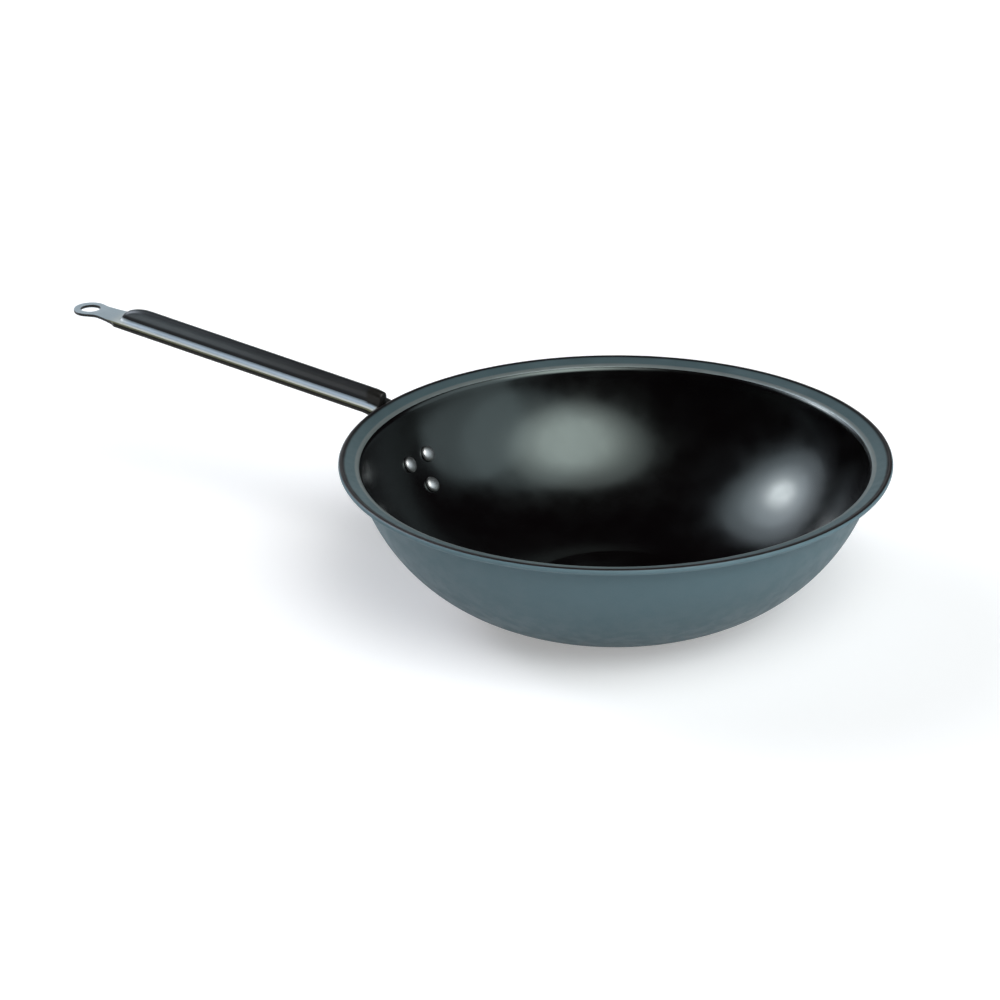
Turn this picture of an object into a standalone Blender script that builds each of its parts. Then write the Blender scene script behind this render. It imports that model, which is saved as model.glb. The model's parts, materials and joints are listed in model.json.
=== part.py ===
"""A deep non-stick wok: a pressed aluminium bowl with a flared lip and a flat base, and a long
handle pressed from steel strip, held by three rivets.

The origin is the centre of the base's underside, +Z is up and the handle points along -X.
Everything is in metres.
"""

import math

import bmesh
import bpy
from mathutils import Matrix, Vector

# Bowl
RIM_RADIUS = 0.160
BOWL_HEIGHT = 0.090
BOWL_WALL = 0.0035
BASE_RADIUS = 0.054
KNUCKLE_RADIUS = 0.014
WALL_CURVE_RADIUS = 0.110
LIP_WIDTH = 0.0098
LIP_SLOPE = math.radians(18)
LIP_BEND_RADIUS = 0.0015

# Handle, pressed from one strip of steel
SHEET = 0.0020
EDGE_ROUNDING = 0.0004
GRIP_WIDTH = 0.0240
GRIP_RISE = math.radians(6.2)
GRIP_DROP = 0.0023
ELBOW_RADIUS = 0.026
HANDLE_REACH = 0.3915
TAB_RISE = math.radians(0.5)
TAB_LENGTH = 0.0205
TAB_BEND_RADIUS = 0.030
EYE_RADIUS = 0.0064
EYE_RIM_WIDTH = 0.0041
NECK_WIDTH = 0.0163
NECK_TO_EYE = 0.0102
SHOULDER_WIDTH = 0.0198
SHOULDER_TO_EYE = 0.0232
SHOULDER_LENGTH = 0.0050

# Stiffening rib along the handle
RIB_HEIGHT_AT_PAN = 0.0097
RIB_HEIGHT_AT_TAB = 0.0101
RIB_CREST_RADIUS = 0.0036
RIB_FOOT_RADIUS = 0.0026
RIB_STEEPEST = math.radians(84)
RIB_FLANK = 0.0002
RIB_NOSE_LENGTH = 0.0210
RIB_NOSE_TO_EYE = 0.0257
RIB_ROOT_LENGTH = 0.0019
RIB_ROOT_TO_RIM = 0.0013
RIB_END_SOFTNESS = 0.0009
RIB_TIP_WIDTH = 0.0040

# Rivets
RIVET_ROW_UPPER = 0.0335
RIVET_ROW_LOWER = 0.0485
RIVET_SPREAD = 0.0200
SHANK_RADIUS = 0.0025
HEAD_RADIUS = 0.0049
HEAD_HEIGHT = 0.0026
TAIL_RADIUS = 0.0043
TAIL_HEIGHT = 0.0018
HEAD_RIM = 0.0004
PLATE_MARGIN = 0.0072

# Clearances between the pieces
PLATE_GAP = 0.0003
HEAD_GAP = 0.0003
SHANK_CLEARANCE = 0.0003

# Facets
BOWL_STEPS = 96
WALL_FACETS = 11
ARC_SIDES = 4
SHORTEST_STEP = 0.0001
RIVET_STEPS = 24
HOLE_SIDES = 32
CUTTER_LENGTH = 0.030
SHARP_ANGLE = math.radians(35)


def clear_scene():
    for old in list(bpy.data.objects):
        bpy.data.objects.remove(old, do_unlink=True)


def new_collection(name):
    collection = bpy.data.collections.new(name)
    bpy.context.scene.collection.children.link(collection)
    return collection


def new_material(name, colour, roughness, metallic):
    material = bpy.data.materials.new(name)
    material.use_nodes = True
    shader = material.node_tree.nodes["Principled BSDF"]
    shader.inputs["Base Color"].default_value = (*colour, 1.0)
    shader.inputs["Roughness"].default_value = roughness
    shader.inputs["Metallic"].default_value = metallic
    material.diffuse_color = (*colour, 1.0)
    return material


def new_object(name, mesh, collection, *materials):
    made = bpy.data.objects.new(name, mesh)
    for material in materials:
        mesh.materials.append(material)
    collection.objects.link(made)
    return made


def shade_round(mesh):
    mesh.shade_smooth()
    mesh.set_sharp_from_angle(angle=SHARP_ANGLE)


def smooth_step(value, start, end):
    """0 before start, 1 after end, and a smooth rise between them."""
    share = min(max((value - start) / (end - start), 0.0), 1.0)
    return share * share * (3.0 - 2.0 * share)


def mix(first, second, share):
    return first + (second - first) * share


def arc(centre, radius, start, end, count):
    """Points of an arc in the (radius, height) plane, both ends included."""
    angles = [mix(start, end, i / (count - 1)) for i in range(count)]
    return [centre + radius * Vector((math.cos(a), math.sin(a))) for a in angles]


def direction(angle):
    return Vector((math.cos(angle), math.sin(angle)))


def angle_of(vector):
    return math.atan2(vector.y, vector.x)


def circles_meet(first, first_radius, second, second_radius):
    """Where two circles cross, taking the higher of the two points."""
    apart = second - first
    distance = apart.length
    along = (first_radius**2 - second_radius**2 + distance**2) / (2.0 * distance)
    aside = math.sqrt(first_radius**2 - along**2)
    foot = first + apart * (along / distance)
    normal = Vector((-apart.y, apart.x)) / distance
    return max(foot + normal * aside, foot - normal * aside, key=lambda point: point.y)


# The bowl's section is four arcs that run into each other: knuckle, wall, lip bend and lip edge.
LIP_ALONG = direction(LIP_SLOPE)
LIP_UP = Vector((-LIP_ALONG.y, LIP_ALONG.x))
LIP_EDGE = Vector((RIM_RADIUS - BOWL_WALL / 2, BOWL_HEIGHT - BOWL_WALL / 2))
LIP_RUN = (LIP_WIDTH - BOWL_WALL / 2) / LIP_ALONG.x
LIP_BEND = LIP_EDGE - LIP_ALONG * LIP_RUN - LIP_UP * (LIP_BEND_RADIUS + BOWL_WALL / 2)
KNUCKLE = Vector((BASE_RADIUS, KNUCKLE_RADIUS))
WALL_CENTRE = circles_meet(
    LIP_BEND,
    WALL_CURVE_RADIUS + LIP_BEND_RADIUS,
    KNUCKLE,
    WALL_CURVE_RADIUS - KNUCKLE_RADIUS,
)
WALL_TOP_ANGLE = angle_of(LIP_BEND - WALL_CENTRE)
WALL_FOOT_ANGLE = angle_of(KNUCKLE - WALL_CENTRE)


def bowl_profile():
    """The section from the centre of the bowl's floor, up the inside, over the lip and down the outside."""
    down = -math.pi / 2
    facing_wall = WALL_TOP_ANGLE + math.pi
    facing_lip = LIP_SLOPE + math.pi / 2
    inner_wall = WALL_CURVE_RADIUS - BOWL_WALL
    inner_knuckle = KNUCKLE_RADIUS - BOWL_WALL
    outer_bend = LIP_BEND_RADIUS + BOWL_WALL
    points = [Vector((0.0, BOWL_WALL)), Vector((BASE_RADIUS / 2, BOWL_WALL))]
    points += arc(KNUCKLE, inner_knuckle, down, WALL_FOOT_ANGLE, 3)
    points += arc(WALL_CENTRE, inner_wall, WALL_FOOT_ANGLE, WALL_TOP_ANGLE, WALL_FACETS + 1)[1:]
    points += arc(LIP_BEND, outer_bend, facing_wall, facing_lip, 6)[1:]
    points += arc(LIP_EDGE, BOWL_WALL / 2, facing_lip, LIP_SLOPE - math.pi / 2, 7)
    points += arc(LIP_BEND, LIP_BEND_RADIUS, facing_lip, facing_wall, 3)
    points += arc(WALL_CENTRE, WALL_CURVE_RADIUS, WALL_TOP_ANGLE, WALL_FOOT_ANGLE, WALL_FACETS + 1)[1:]
    points += arc(KNUCKLE, KNUCKLE_RADIUS, WALL_FOOT_ANGLE, down, 3)[1:]
    points += [Vector((BASE_RADIUS / 2, 0.0)), Vector((0.0, 0.0))]
    return points


def turned(name, profile, steps, collection):
    """A solid of revolution about its own Z axis, from a profile that ends on the axis."""
    mesh = bpy.data.meshes.new(name + "_profile")
    vertices = [(point.x, 0.0, point.y) for point in profile]
    edges = [(i, i + 1) for i in range(len(vertices) - 1)]
    mesh.from_pydata(vertices, edges, [])
    source = new_object(name + "_profile", mesh, collection)
    screw = source.modifiers.new("turn", "SCREW")
    screw.axis = "Z"
    screw.steps = steps
    screw.render_steps = steps
    screw.use_merge_vertices = True
    screw.merge_threshold = 0.00001
    graph = bpy.context.evaluated_depsgraph_get()
    solid = bpy.data.meshes.new_from_object(source.evaluated_get(graph))
    solid.name = name
    bpy.data.objects.remove(source, do_unlink=True)
    bpy.data.meshes.remove(mesh)
    shade_round(solid)
    return solid


def make_bowl(collection, aluminium, coating):
    mesh = turned("bowl", bowl_profile(), BOWL_STEPS, collection)
    bowl = new_object("bowl", mesh, collection, aluminium, coating)
    middle_of_wall = WALL_CURVE_RADIUS - BOWL_WALL / 2
    coated_edge = LIP_BEND.x - (LIP_BEND_RADIUS + BOWL_WALL) * math.sin(LIP_SLOPE)
    for face in mesh.polygons:
        section = Vector((math.hypot(face.center.x, face.center.y), face.center.z))
        inside = section.y > BOWL_WALL / 2 and section.x < coated_edge
        in_wall = (section - WALL_CENTRE).length < middle_of_wall
        in_floor = section.x < BASE_RADIUS
        face.material_index = int(inside and (in_wall or in_floor))
    return bowl


def wall_angle(depth):
    """The direction from the wall arc's centre to the wall, at a depth below the rim."""
    return math.asin((BOWL_HEIGHT - depth - WALL_CENTRE.y) / WALL_CURVE_RADIUS)


class HandleLine:
    """The handle's upper face along its length, as a distance from where the plate leaves the wall.

    Below 0 it follows the bowl's wall. Then come the elbow, the grip, a slight bend and the tab.
    """

    def __init__(self):
        self.plate_radius = WALL_CURVE_RADIUS + PLATE_GAP
        along = direction(GRIP_RISE)
        up = Vector((-along.y, along.x))
        start = Vector((RIM_RADIUS, BOWL_HEIGHT - GRIP_DROP)) - up * ELBOW_RADIUS
        offset = start - WALL_CENTRE
        reach = self.plate_radius + ELBOW_RADIUS
        half = offset.dot(along)
        run = math.sqrt(half**2 - offset.length_squared + reach**2) - half
        self.elbow = start + along * run
        self.plate_angle = angle_of(self.elbow - WALL_CENTRE)
        self.leaving = self.plate_angle + math.pi / 2
        self.elbow_length = ELBOW_RADIUS * (self.leaving - GRIP_RISE)
        self.grip_start = self.elbow + up * ELBOW_RADIUS
        bend_length = TAB_BEND_RADIUS * (GRIP_RISE - TAB_RISE)
        bend_reach = TAB_BEND_RADIUS * (math.sin(GRIP_RISE) - math.sin(TAB_RISE))
        tab_start = HANDLE_REACH - TAB_LENGTH * math.cos(TAB_RISE)
        grip_end = tab_start - bend_reach
        self.grip_length = (grip_end - self.grip_start.x) / along.x
        self.bend_start = self.elbow_length + self.grip_length
        self.tab_start = self.bend_start + bend_length
        self.end = self.tab_start + TAB_LENGTH
        self.eye = self.end - EYE_RADIUS - EYE_RIM_WIDTH
        self.bend_centre = self.grip_start + along * self.grip_length - up * TAB_BEND_RADIUS

    def at(self, distance):
        """The point on the upper face and the line's slope there."""
        if distance < 0:
            angle = self.plate_angle + distance / self.plate_radius
            return WALL_CENTRE + direction(angle) * self.plate_radius, angle + math.pi / 2
        if distance < self.elbow_length:
            slope = self.leaving - distance / ELBOW_RADIUS
            return self.elbow + direction(slope + math.pi / 2) * ELBOW_RADIUS, slope
        if distance < self.bend_start:
            run = distance - self.elbow_length
            return self.grip_start + direction(GRIP_RISE) * run, GRIP_RISE
        turn = min(distance, self.tab_start) - self.bend_start
        slope = GRIP_RISE - turn / TAB_BEND_RADIUS
        point = self.bend_centre + direction(slope + math.pi / 2) * TAB_BEND_RADIUS
        return point + direction(slope) * max(distance - self.tab_start, 0.0), slope

    def row(self, depth):
        """The distance of a rivet row, from its depth below the rim."""
        return (wall_angle(depth) - self.plate_angle) * self.plate_radius

    def on_elbow(self, radius):
        """The distance at which the elbow is this far from the bowl's axis."""
        slope = math.asin((self.elbow.x - radius) / ELBOW_RADIUS)
        return (self.leaving - slope) * ELBOW_RADIUS


def plate_half_width(below):
    """Half the riveted plate's width, at a distance below its upper row of rivets."""
    side = RIVET_SPREAD / 2
    drop = LINE.row(RIVET_ROW_UPPER) - LINE.row(RIVET_ROW_LOWER)
    slant = math.hypot(side, drop)
    touch = PLATE_MARGIN * side / slant
    if below < touch:
        return side + math.sqrt(PLATE_MARGIN**2 - below**2)
    if below < drop + touch:
        share = (below - touch) / drop
        return side * (1.0 - share) + PLATE_MARGIN * drop / slant
    return math.sqrt(max(PLATE_MARGIN**2 - (below - drop) ** 2, 0.0))


def half_width(distance):
    """Half the strip's width along the handle."""
    upper_row = LINE.row(RIVET_ROW_UPPER)
    grip = GRIP_WIDTH / 2
    neck = NECK_WIDTH / 2
    eye = EYE_RADIUS + EYE_RIM_WIDTH
    neck_place = LINE.eye - NECK_TO_EYE
    shoulder = LINE.eye - SHOULDER_TO_EYE
    if distance < upper_row:
        return plate_half_width(upper_row - distance)
    if distance < LINE.elbow_length:
        share = smooth_step(distance, upper_row, LINE.elbow_length)
        return mix(RIVET_SPREAD / 2 + PLATE_MARGIN, grip, share)
    if distance < shoulder:
        share = smooth_step(distance, shoulder - SHOULDER_LENGTH, shoulder)
        return mix(grip, SHOULDER_WIDTH / 2, share)
    if distance < neck_place:
        share = (distance - shoulder) / (neck_place - shoulder)
        return mix(SHOULDER_WIDTH / 2, neck, share * (2.0 - share))
    if distance < LINE.eye:
        return mix(neck, eye, smooth_step(distance, neck_place, LINE.eye))
    return math.sqrt(max(eye**2 - (distance - LINE.eye) ** 2, 0.0))


def rib_end(distance, length):
    """The share of its full height that the rib has at a distance in from one of its rounded ends."""
    share = min(max(distance / length, 0.0), 1.0)
    return math.sqrt(1.0 - (1.0 - share) ** 2)


def rib_height(distance, shortened):
    """Height of the rib, which ends in a long nose at the tab and a short root at the elbow.

    The underside of the sheet has the same rib, shortened at both ends by the sheet's thickness.
    """
    nose = LINE.eye - RIB_NOSE_TO_EYE - shortened
    root = LINE.on_elbow(RIM_RADIUS + RIB_ROOT_TO_RIM) + shortened
    full = mix(RIB_HEIGHT_AT_PAN, RIB_HEIGHT_AT_TAB, (distance - root) / (nose - root))
    share = rib_end(distance - root, RIB_ROOT_LENGTH) * rib_end(nose - distance, RIB_NOSE_LENGTH)
    return math.hypot((full + RIB_END_SOFTNESS) * share, RIB_END_SOFTNESS) - RIB_END_SOFTNESS


def gathering(distance):
    """How far the flat strip's lines have drawn together to run into the rib's rounded ends: 0 to 1."""
    root = LINE.on_elbow(RIM_RADIUS + RIB_ROOT_TO_RIM)
    nose = LINE.eye - RIB_NOSE_TO_EYE
    neck = LINE.eye - NECK_TO_EYE
    return smooth_step(distance, 0.0, root) * (1.0 - smooth_step(distance, nose, neck))


def face_line(half, height, gathered):
    """The strip's upper face across one half, from edge to middle: (sideways, up, angle of slope)."""
    edge = half - EDGE_ROUNDING
    if height <= 0:
        last = 2 * ARC_SIDES + 2
        inner = mix(edge * (1 - 1 / last), RIB_TIP_WIDTH / 2, gathered)
        return [(edge, 0.0, 0.0)] + [(inner * (last - i) / (last - 1), 0.0, 0.0) for i in range(1, last + 1)]
    radii = RIB_FOOT_RADIUS + RIB_CREST_RADIUS
    lean = math.atan2(radii, RIB_FLANK)
    turn = lean + math.asin((height - radii) / math.hypot(radii, RIB_FLANK))
    turn = min(turn, RIB_STEEPEST)
    flank = (height - radii * (1 - math.cos(turn))) / math.sin(turn)
    foot = radii * math.sin(turn) + flank * math.cos(turn)
    points = [(edge, 0.0, 0.0)]
    for i in range(ARC_SIDES + 1):
        angle = turn * i / ARC_SIDES
        sideways = foot - RIB_FOOT_RADIUS * math.sin(angle)
        points.append((sideways, RIB_FOOT_RADIUS * (1 - math.cos(angle)), angle))
    for i in range(ARC_SIDES + 1):
        angle = turn * (1 - i / ARC_SIDES)
        up = height - RIB_CREST_RADIUS * (1 - math.cos(angle))
        points.append((RIB_CREST_RADIUS * math.sin(angle), up, angle))
    return points


def mirrored(right):
    """A face's whole width, from its right half."""
    return [(-sideways, up, -angle) for sideways, up, angle in right[:-1]] + right[::-1]


def strip_section(half, height, height_below, gathered):
    """The strip's closed outline across the handle, with rounded edges, from its left edge."""
    upper = [(sideways, up) for sideways, up, _ in mirrored(face_line(half, height, gathered))]
    lower = []
    for sideways, up, angle in mirrored(face_line(half, height_below, gathered)):
        lower.append((sideways - SHEET * math.sin(angle), up - SHEET * math.cos(angle)))
    edge = half - EDGE_ROUNDING
    slant = EDGE_ROUNDING * math.sqrt(0.5)
    corners = [
        (edge + slant, slant - EDGE_ROUNDING),
        (half, -EDGE_ROUNDING),
        (half, EDGE_ROUNDING - SHEET),
        (edge + slant, EDGE_ROUNDING - slant - SHEET),
    ]
    left = [(-sideways, up) for sideways, up in reversed(corners)]
    return upper + corners + lower[::-1] + left


def spread(start, end, count):
    """Distances from start up to, but not at, end."""
    return [mix(start, end, i / count) for i in range(count)]


def rounded_end(centre, radius, sign, count):
    """Distances towards a round end that crowd together there, without the last point."""
    return [centre + sign * radius * math.sin(math.pi / 2 * i / count) for i in range(count)]


def stations():
    """Where the handle's sections are, from the plate's lower end to the tip."""
    upper_row = LINE.row(RIVET_ROW_UPPER)
    lower_row = LINE.row(RIVET_ROW_LOWER)
    root = LINE.on_elbow(RIM_RADIUS + RIB_ROOT_TO_RIM)
    nose = LINE.eye - RIB_NOSE_TO_EYE
    neck = LINE.eye - NECK_TO_EYE
    shoulder = LINE.eye - SHOULDER_TO_EYE
    nose_start = nose - RIB_NOSE_LENGTH - SHEET
    tip = EYE_RADIUS + EYE_RIM_WIDTH
    found = rounded_end(lower_row, PLATE_MARGIN, -1, 7)[::-1]
    found += spread(lower_row, upper_row, 3)[1:]
    found += spread(upper_row, root, 8)
    found += [root + RIB_ROOT_LENGTH * share**2 for share in (0.0, 0.25, 0.5, 0.75, 1.0)]
    found += [root + SHEET + RIB_ROOT_LENGTH * share**2 for share in (0.25, 0.5, 0.75, 1.0)]
    found += spread(LINE.elbow_length, nose_start, 3)
    found += [nose - RIB_NOSE_LENGTH * share**2 for share in (1.056, 0.9, 0.7, 0.5)]
    found += [nose - RIB_NOSE_LENGTH * share**2 for share in (0.36, 0.24, 0.14, 0.07, 0.0)]
    found += spread(shoulder - SHOULDER_LENGTH, shoulder, 4)
    found += spread(shoulder, neck, 5)
    found += spread(neck, LINE.eye, 5)
    found += rounded_end(LINE.eye, tip, 1, 8)
    found.sort()
    return [found[0]] + [far for near, far in zip(found, found[1:]) if far - near > SHORTEST_STEP]


def make_handle(collection, steel):
    """A loft through the strip's sections, wrapped round the bowl where the plate lies on it."""
    mesh = bmesh.new()
    rings = []
    for distance in stations():
        point, slope = LINE.at(distance)
        along = direction(slope)
        up = Vector((-along.y, along.x))
        wrap = 1.0 - smooth_step(distance, 0.0, LINE.elbow_length)
        ring = []
        heights = rib_height(distance, 0.0), rib_height(distance, SHEET)
        for sideways, level in strip_section(half_width(distance), *heights, gathering(distance)):
            place = point + up * level
            wrapped = math.sqrt(place.x**2 - sideways**2)
            radius = mix(place.x, wrapped, wrap)
            ring.append(mesh.verts.new((-radius, sideways, place.y)))
        rings.append(ring)
    for first, second in zip(rings, rings[1:]):
        for i in range(len(first)):
            mesh.faces.new((first[i - 1], first[i], second[i], second[i - 1]))
    mesh.faces.new(rings[0][::-1])
    mesh.faces.new(rings[-1])
    bmesh.ops.recalc_face_normals(mesh, faces=mesh.faces)
    data = bpy.data.meshes.new("handle")
    mesh.to_mesh(data)
    mesh.free()
    shade_round(data)
    return new_object("handle", data, collection, steel)


def rivet_profile():
    """From the closed head outside the plate, down the shank, to the crown of the domed head inside."""
    seat = HEAD_GAP + HEAD_RADIUS**2 / (2.0 * WALL_CURVE_RADIUS)
    tail_face = PLATE_GAP + SHEET + HEAD_GAP
    head_face = -(BOWL_WALL + seat)
    tail_crown = TAIL_HEIGHT - HEAD_RIM
    head_crown = HEAD_HEIGHT - HEAD_RIM
    points = []
    for i in range(4):
        angle = math.pi / 2 * (1 - i / 3)
        rise = tail_face + HEAD_RIM + tail_crown * math.sin(angle)
        points.append(Vector((TAIL_RADIUS * math.cos(angle), rise)))
    points.append(Vector((TAIL_RADIUS, tail_face)))
    points.append(Vector((SHANK_RADIUS, tail_face)))
    points.append(Vector((SHANK_RADIUS, head_face)))
    points.append(Vector((HEAD_RADIUS, head_face)))
    for i in range(6):
        angle = math.pi / 2 * i / 5
        drop = head_face - HEAD_RIM - head_crown * math.sin(angle)
        points.append(Vector((HEAD_RADIUS * math.cos(angle), drop)))
    points[0].x = 0.0
    points[-1].x = 0.0
    return points


def rivet_place(depth, sideways):
    """The rivet's matrix: its origin on the bowl's outer face, its Z axis square to the wall."""
    angle = wall_angle(depth)
    radius = WALL_CENTRE.x + WALL_CURVE_RADIUS * math.cos(angle)
    round_by = math.asin(sideways / radius)
    outward = Vector((-math.cos(round_by), math.sin(round_by), 0.0))
    normal = outward * math.cos(angle) + Vector((0.0, 0.0, math.sin(angle)))
    place = outward * radius + Vector((0.0, 0.0, BOWL_HEIGHT - depth))
    return Matrix.Translation(place) @ normal.to_track_quat("Z", "Y").to_matrix().to_4x4()


def make_rivets(collection, metal):
    mesh = turned("rivet", rivet_profile(), RIVET_STEPS, collection)
    places = {
        "rivet_upper_left": (RIVET_ROW_UPPER, -RIVET_SPREAD / 2),
        "rivet_upper_right": (RIVET_ROW_UPPER, RIVET_SPREAD / 2),
        "rivet_lower": (RIVET_ROW_LOWER, 0.0),
    }
    mesh.materials.append(metal)
    rivets = []
    for name, (depth, sideways) in places.items():
        rivet = new_object(name, mesh, collection)
        rivet.matrix_world = rivet_place(depth, sideways)
        rivets.append(rivet)
    return rivets


def cutter(name, radius, matrix, collection):
    mesh = bpy.data.meshes.new(name)
    form = bmesh.new()
    bmesh.ops.create_cone(
        form,
        cap_ends=True,
        segments=HOLE_SIDES,
        radius1=radius,
        radius2=radius,
        depth=CUTTER_LENGTH,
    )
    form.to_mesh(mesh)
    form.free()
    made = new_object(name, mesh, collection)
    made.matrix_world = matrix
    made.hide_render = True
    made.display_type = "WIRE"
    return made


def cut(target, tool):
    modifier = target.modifiers.new("cut_" + tool.name, "BOOLEAN")
    modifier.operation = "DIFFERENCE"
    modifier.solver = "EXACT"
    modifier.object = tool


def cut_holes(bowl, handle, rivets, cutters):
    """The rivets' holes through wall and plate, and the hanging eye in the tab."""
    for rivet in rivets:
        hole = cutter("hole_" + rivet.name, SHANK_RADIUS + SHANK_CLEARANCE, rivet.matrix_world, cutters)
        cut(bowl, hole)
        cut(handle, hole)
    point, slope = LINE.at(LINE.eye)
    place = Matrix.Translation((-point.x, 0.0, point.y)) @ Matrix.Rotation(slope, 4, "Y")
    cut(handle, cutter("hole_eye", EYE_RADIUS, place, cutters))


clear_scene()
LINE = HandleLine()
parts = new_collection("wok")
cutters = new_collection("cutters")
aluminium = new_material("aluminium", (0.42, 0.47, 0.49), 0.38, 1.0)
coating = new_material("nonstick_coating", (0.012, 0.010, 0.011), 0.28, 0.0)
steel = new_material("plated_steel", (0.62, 0.66, 0.68), 0.22, 1.0)
rivet_metal = new_material("rivet_aluminium", (0.72, 0.72, 0.70), 0.30, 1.0)
bowl = make_bowl(parts, aluminium, coating)
handle = make_handle(parts, steel)
rivets = make_rivets(parts, rivet_metal)
bpy.context.view_layer.update()
cut_holes(bowl, handle, rivets, cutters)
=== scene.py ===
# Looks of a deep non-stick wok with a long riveted steel handle. Metres, +Z up, the handle along -X.

import json
import math

import bmesh
import bpy
from mathutils import Matrix, Vector

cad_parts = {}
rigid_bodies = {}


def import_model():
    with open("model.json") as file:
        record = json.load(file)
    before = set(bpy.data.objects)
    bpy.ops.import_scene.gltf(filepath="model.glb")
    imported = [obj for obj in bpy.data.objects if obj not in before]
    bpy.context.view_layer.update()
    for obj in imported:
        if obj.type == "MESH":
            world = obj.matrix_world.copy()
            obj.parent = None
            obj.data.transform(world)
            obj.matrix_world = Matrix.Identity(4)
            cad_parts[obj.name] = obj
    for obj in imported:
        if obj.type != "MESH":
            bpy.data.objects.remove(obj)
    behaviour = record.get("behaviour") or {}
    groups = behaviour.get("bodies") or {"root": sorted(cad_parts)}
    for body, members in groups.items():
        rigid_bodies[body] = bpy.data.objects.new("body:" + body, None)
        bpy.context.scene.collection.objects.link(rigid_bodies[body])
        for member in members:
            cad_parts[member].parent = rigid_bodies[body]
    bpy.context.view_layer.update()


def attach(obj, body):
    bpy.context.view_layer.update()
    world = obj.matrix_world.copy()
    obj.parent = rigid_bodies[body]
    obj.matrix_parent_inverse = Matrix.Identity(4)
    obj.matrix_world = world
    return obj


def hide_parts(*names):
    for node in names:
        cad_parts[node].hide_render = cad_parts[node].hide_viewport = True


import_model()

# The bowl's driving sizes, as its solid has them.
# The rim is 0.04 mm less, to stay inside the solid's facets.
RIM_RADIUS = 0.15996
BOWL_HEIGHT = 0.090
BOWL_WALL = 0.0035
BASE_RADIUS = 0.054
KNUCKLE_RADIUS = 0.014
WALL_CURVE_RADIUS = 0.110
LIP_WIDTH = 0.0098
LIP_SLOPE = math.radians(18)
LIP_BEND_RADIUS = 0.0015

# The rivets' driving sizes. The rows are measured down from the rim.
RIVET_ROW_UPPER = 0.0335
RIVET_ROW_LOWER = 0.0485
RIVET_SPREAD = 0.0200
SHANK_RADIUS = 0.0025
HEAD_RADIUS = 0.0049
HEAD_HEIGHT = 0.0026
TAIL_RADIUS = 0.0043
TAIL_HEIGHT = 0.0018
HEAD_RIM = 0.0004
GAP = 0.0003
HOLE_CLEARANCE = 0.0003

# The handle's driving sizes. Its reach is 0.2 mm less than the solid's, to stay inside the facets.
SHEET = 0.0020
EDGE_ROUNDING = 0.0004
GRIP_WIDTH = 0.0240
GRIP_RISE = math.radians(6.2)
GRIP_DROP = 0.0023
ELBOW_RADIUS = 0.026
HANDLE_REACH = 0.3913
TAB_RISE = math.radians(0.5)
TAB_LENGTH = 0.0205
TAB_BEND_RADIUS = 0.030
EYE_RADIUS = 0.0064
EYE_RIM_WIDTH = 0.0041
NECK_WIDTH = 0.0163
NECK_TO_EYE = 0.0102
SHOULDER_WIDTH = 0.0198
SHOULDER_TO_EYE = 0.0232
SHOULDER_LENGTH = 0.0050
RIB_HEIGHT_AT_PAN = 0.0097
RIB_HEIGHT_AT_TAB = 0.0101
RIB_CREST_RADIUS = 0.0036
RIB_FOOT_RADIUS = 0.0026
RIB_STEEPEST = math.radians(84)
RIB_FLANK = 0.0002
RIB_NOSE_LENGTH = 0.0210
RIB_NOSE_TO_EYE = 0.0257
RIB_ROOT_LENGTH = 0.0019
RIB_ROOT_TO_RIM = 0.0013
RIB_END_SOFTNESS = 0.0009
RIB_TIP_WIDTH = 0.0040
PLATE_MARGIN = 0.0072

# The camera, worked out from the rim's ellipse in the photograph
VIEW_AZIMUTH = math.radians(29.7)
VIEW_ELEVATION = math.radians(22.85)
VIEW_ROLL = math.radians(-0.84)
VIEW_DISTANCE = 12.0 * RIM_RADIUS
AIM_RIGHT = -0.418 * RIM_RADIUS
AIM_UP = -0.181 * RIM_RADIUS
SENSOR_WIDTH = 36.0
LENS = 119.46
NEAR_CLIP = 0.01

# Lamps: azimuth, elevation and width as the bowl sees them, in degrees, then radiance and colour
SKY_DISCS = {
    "overhead_core": (153, 50, 33, 2.2, (1.0, 1.0, 0.98)),
    "overhead_middle": (153, 50, 45, 1.5, (1.0, 1.0, 0.98)),
    "overhead_wide": (154, 53, 58, 1.4, (0.97, 0.99, 1.0)),
    "right_low": (104, 20, 58, 1.0, (0.84, 0.93, 1.0)),
    "right_high": (126, 41, 62, 0.6, (0.84, 0.93, 1.0)),
    "left_core": (-64, 32, 13, 9.5, (1.0, 0.95, 1.0)),
    "left_middle": (-62, 33, 30, 2.2, (0.86, 0.89, 1.0)),
    "left_wide": (-61, 33, 46, 1.5, (0.82, 0.88, 1.0)),
}
SKY_DISC_DISTANCE = 4.0
STRIP_AZIMUTH = -9
STRIP_ELEVATION = 15
STRIP_DISTANCE = 3.0
STRIP_WIDTH = 2.4
STRIP_HEIGHT = 0.8
STRIP_RADIANCE = 0.62
STRIP_COLOUR = (0.90, 0.97, 1.0)

# The studio. The horizon's band is given as heights on a direction of length 1.
STUDIO_COLOUR = (0.9, 0.95, 1.0, 1.0)
STUDIO_STRENGTH = 0.012
WHITE = (1.0, 1.0, 1.0, 1.0)
HORIZON = (0.01, 0.03)
FLOOR_REACH = 6.0
FLOOR_DROP = 0.0002
FLOOR_GLOW = 0.34

# Finishes. A noise's scale is in cells a metre, and its value seldom leaves the middle range.
# The last two draw a noise out along the handle.
FINE_GRAIN = 2600.0
MIDDLE = (0.3, 0.7)
SPECKLE = (0.35, 0.8)
ALONG_HANDLE = (0.08, 1.0, 1.0)
LONG_STREAKS = (0.05, 1.0, 1.0)

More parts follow.
